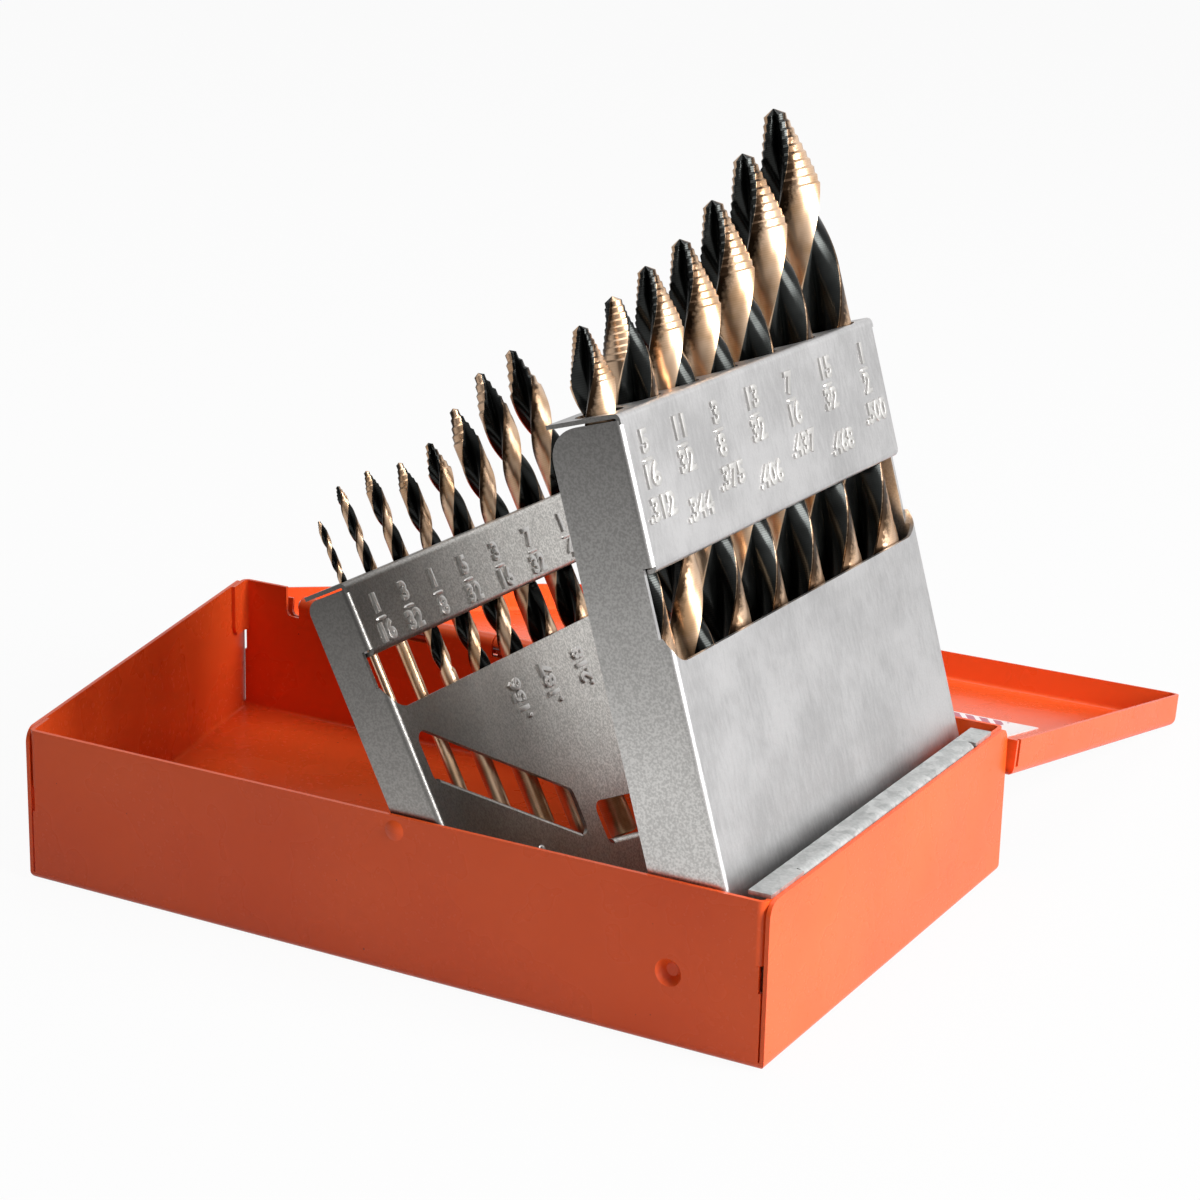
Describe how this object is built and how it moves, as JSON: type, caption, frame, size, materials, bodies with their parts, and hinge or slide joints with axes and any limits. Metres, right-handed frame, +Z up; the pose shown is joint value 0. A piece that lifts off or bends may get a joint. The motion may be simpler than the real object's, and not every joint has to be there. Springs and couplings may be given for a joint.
{
  "type": "drill bit case",
  "caption": "Folded sheet-metal drill bit case with a slanted end, a full-length hinged lid and two coupled fold-down racks holding stepped-point twist drills.",
  "frame": {"origin": "on the ground, in the tray's flat base, under the middle of its back length and of its depth", "axes": "+X along the tray towards its square end, +Y from the front wall to the hinge, +Z up out of the tray"},
  "size_m": [0.1941, 0.2209, 0.1525],
  "materials": {
    "enamel": "glossy orange-red enamel",
    "zinc": "zinc plated, finely speckled",
    "galvanised": "galvanised, matt",
    "drill_steel": "black oxide flutes with straw-coloured lands",
    "hinge_wire": "bright wire",
    "stud_steel": "plated",
    "label": "printed film, white with red bars"
  },
  "bodies": {
    "tray": {"tray": "enamel", "rack_bracket": "galvanised", "hinge_pin": "hinge_wire", "pivot_stud": "stud_steel", "spacer_washer": "stud_steel"},
    "lid": {"lid": "enamel", "lid_label": "label"},
    "large_rack": {"large_rack": "zinc"},
    "small_rack": {"small_rack": "zinc"},
    "drill_1_16": {"drill_1_16": "drill_steel"},
    "drill_3_32": {"drill_3_32": "drill_steel"},
    "drill_1_8": {"drill_1_8": "drill_steel"},
    "drill_5_32": {"drill_5_32": "drill_steel"},
    "drill_3_16": {"drill_3_16": "drill_steel"},
    "drill_7_32": {"drill_7_32": "drill_steel"},
    "drill_1_4": {"drill_1_4": "drill_steel"},
    "drill_9_32": {"drill_9_32": "drill_steel"},
    "drill_5_16": {"drill_5_16": "drill_steel"},
    "drill_11_32": {"drill_11_32": "drill_steel"},
    "drill_3_8": {"drill_3_8": "drill_steel"},
    "drill_13_32": {"drill_13_32": "drill_steel"},
    "drill_7_16": {"drill_7_16": "drill_steel"},
    "drill_15_32": {"drill_15_32": "drill_steel"},
    "drill_1_2": {"drill_1_2": "drill_steel"}
  },
  "joints": [
    {"name": "lid_hinge", "type": "hinge", "parent": "tray", "child": "lid", "pos_m": [0, 0.0559, 0.027], "axis": [1, 0, 0], "range_deg": [0, 100]},
    {"name": "large_rack_pivot", "type": "hinge", "parent": "tray", "child": "large_rack", "pos_m": [0.0762, 0, 0.0142], "axis": [0, 1, 0], "range_deg": [-73.65, 0]},
    {"name": "small_rack_pivot", "type": "hinge", "parent": "tray", "child": "small_rack", "pos_m": [0.0345, 0, 0.006], "axis": [0, 1, 0], "range_deg": [-63.07, 0]},
    {"name": "drill_1_16_slide", "type": "slide", "parent": "small_rack", "child": "drill_1_16", "axis": [-0.4529, 0, 0.8916], "range_m": [0, 0.043]},
    {"name": "drill_3_32_slide", "type": "slide", "parent": "small_rack", "child": "drill_3_32", "axis": [-0.4529, 0, 0.8916], "range_m": [0, 0.048]},
    {"name": "drill_1_8_slide", "type": "slide", "parent": "small_rack", "child": "drill_1_8", "axis": [-0.4529, 0, 0.8916], "range_m": [0, 0.054]},
    {"name": "drill_5_32_slide", "type": "slide", "parent": "small_rack", "child": "drill_5_32", "axis": [-0.4529, 0, 0.8916], "range_m": [0, 0.06]},
    {"name": "drill_3_16_slide", "type": "slide", "parent": "small_rack", "child": "drill_3_16", "axis": [-0.4529, 0, 0.8916], "range_m": [0, 0.069]},
    {"name": "drill_7_32_slide", "type": "slide", "parent": "small_rack", "child": "drill_7_32", "axis": [-0.4529, 0, 0.8916], "range_m": [0, 0.071]},
    {"name": "drill_1_4_slide", "type": "slide", "parent": "small_rack", "child": "drill_1_4", "axis": [-0.4529, 0, 0.8916], "range_m": [0, 0.073]},
    {"name": "drill_9_32_slide", "type": "slide", "parent": "small_rack", "child": "drill_9_32", "axis": [-0.4529, 0, 0.8916], "range_m": [0, 0.075]},
    {"name": "drill_5_16_slide", "type": "slide", "parent": "large_rack", "child": "drill_5_16", "axis": [-0.2815, 0, 0.9596], "range_m": [0, 0.11]},
    {"name": "drill_11_32_slide", "type": "slide", "parent": "large_rack", "child": "drill_11_32", "axis": [-0.2815, 0, 0.9596], "range_m": [0, 0.11]},
    {"name": "drill_3_8_slide", "type": "slide", "parent": "large_rack", "child": "drill_3_8", "axis": [-0.2815, 0, 0.9596], "range_m": [0, 0.11]},
    {"name": "drill_13_32_slide", "type": "slide", "parent": "large_rack", "child": "drill_13_32", "axis": [-0.2815, 0, 0.9596], "range_m": [0, 0.11]},
    {"name": "drill_7_16_slide", "type": "slide", "parent": "large_rack", "child": "drill_7_16", "axis": [-0.2815, 0, 0.9596], "range_m": [0, 0.11]},
    {"name": "drill_15_32_slide", "type": "slide", "parent": "large_rack", "child": "drill_15_32", "axis": [-0.2815, 0, 0.9596], "range_m": [0, 0.11]},
    {"name": "drill_1_2_slide", "type": "slide", "parent": "large_rack", "child": "drill_1_2", "axis": [-0.2815, 0, 0.9596], "range_m": [0, 0.11]}
  ],
  "couplings": [
    {"joint": "small_rack_pivot", "follows": "large_rack_pivot", "ratio": 0.85635}
  ]
}
